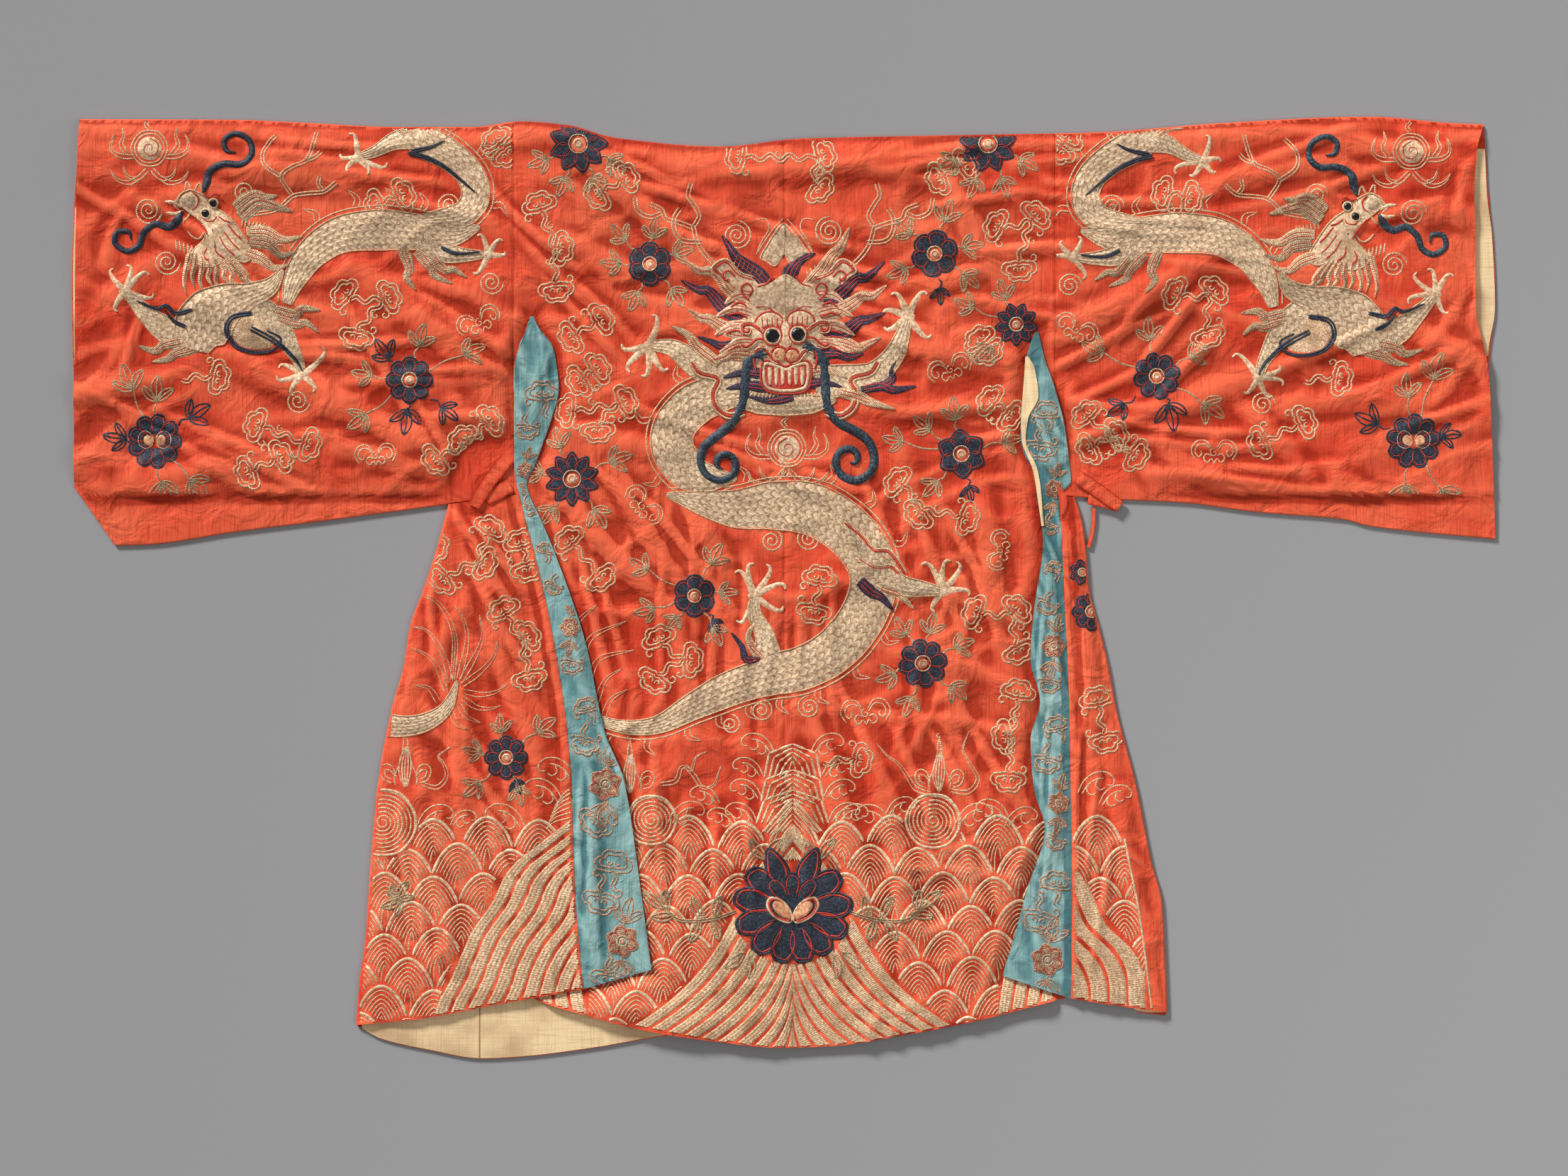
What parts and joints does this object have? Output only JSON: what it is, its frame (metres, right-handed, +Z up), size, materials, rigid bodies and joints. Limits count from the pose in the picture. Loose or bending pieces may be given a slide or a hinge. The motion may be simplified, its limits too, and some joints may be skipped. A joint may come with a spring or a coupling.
{
  "type": "chinese dragon robe, laid flat with its back up",
  "caption": "Red satin robe with wide sleeves, side vents, teal vent flaps and tie bands, lined, laid flat on a surface with its back up.",
  "frame": {"origin": "on the surface that the robe lies on, under the middle of its outline", "axes": "+X along the sleeves to the cuff on the viewer's right, +Y from the hem to the shoulders, +Z up from the surface through the front and then the back"},
  "size_m": [1.816, 1.2014, 0.0116],
  "materials": {
    "red_satin": "satin silk with metal-thread and silk embroidery",
    "teal_satin": "satin silk with couched outline embroidery",
    "lining": "plain-woven matte cloth",
    "tie_band": "folded satin band"
  },
  "bodies": {
    "root": {"back_left": "red_satin", "back_right": "red_satin", "front_left": "red_satin", "front_right": "red_satin", "side_left": "red_satin", "side_right": "red_satin", "sleeve_left": "red_satin", "sleeve_right": "red_satin", "side_corner_right": "red_satin", "flap_left": "teal_satin", "flap_right": "teal_satin", "flap_turnback_right": "lining", "lining_hem_left": "lining", "lining_hem_right": "lining", "lining_cuff_left": "lining", "lining_cuff_right": "lining", "tie_left_long": "tie_band", "tie_left_short": "tie_band", "tie_right": "tie_band", "strap_right": "tie_band"}
  },
  "joints": []
}
